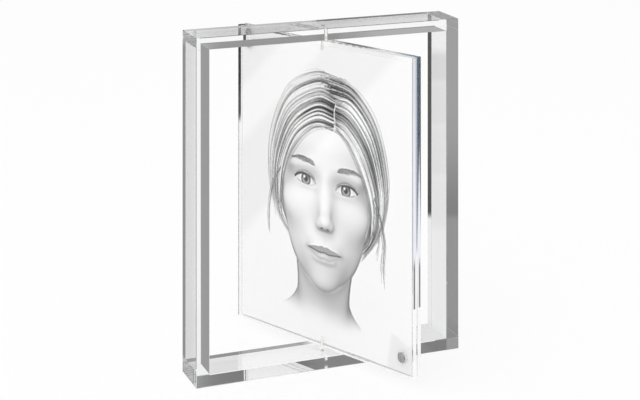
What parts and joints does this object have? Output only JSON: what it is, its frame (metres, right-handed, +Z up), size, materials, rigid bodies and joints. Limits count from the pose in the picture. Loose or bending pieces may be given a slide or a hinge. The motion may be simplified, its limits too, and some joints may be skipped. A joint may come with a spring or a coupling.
{
  "type": "revolving acrylic picture frame",
  "caption": "Free-standing clear acrylic window frame with a double-sided picture panel of clear plates, held shut by magnets, that turns on an upright axis.",
  "frame": {"origin": "middle of the bottom rail's underside, on the panel's turning axis", "axes": "+X to the right across the window frame, +Y to the back, +Z up"},
  "size_m": [0.241, 0.1953, 0.2902],
  "materials": {
    "clear_acrylic": "water-clear cast acrylic with polished edges",
    "photo_paper": "semi-gloss black and white photo paper",
    "magnet_nickel": "nickel-plated disc magnet",
    "white_nylon": "natural white nylon"
  },
  "bodies": {
    "frame": {"top_rail": "clear_acrylic", "bottom_rail": "clear_acrylic", "left_post": "clear_acrylic", "right_post": "clear_acrylic", "top_bush": "white_nylon", "bottom_bush": "white_nylon"},
    "panel": {"hinged_plate": "clear_acrylic", "top_pivot_pin": "white_nylon", "bottom_pivot_pin": "white_nylon", "upper_left_front_magnet": "magnet_nickel", "lower_right_front_magnet": "magnet_nickel", "front_print": "photo_paper", "back_print": "photo_paper"},
    "loose_cover": {"loose_plate": "clear_acrylic", "upper_left_back_magnet": "magnet_nickel", "lower_right_back_magnet": "magnet_nickel"}
  },
  "joints": [
    {"name": "panel_swivel", "type": "hinge", "parent": "frame", "child": "panel", "pos_m": [0, 0, 0.1451], "axis": [0, 0, 1], "continuous": true},
    {"name": "cover_pull", "type": "slide", "parent": "panel", "child": "loose_cover", "axis": [0.9107, 0.4131, 0], "range_m": [0, 0.015]}
  ]
}
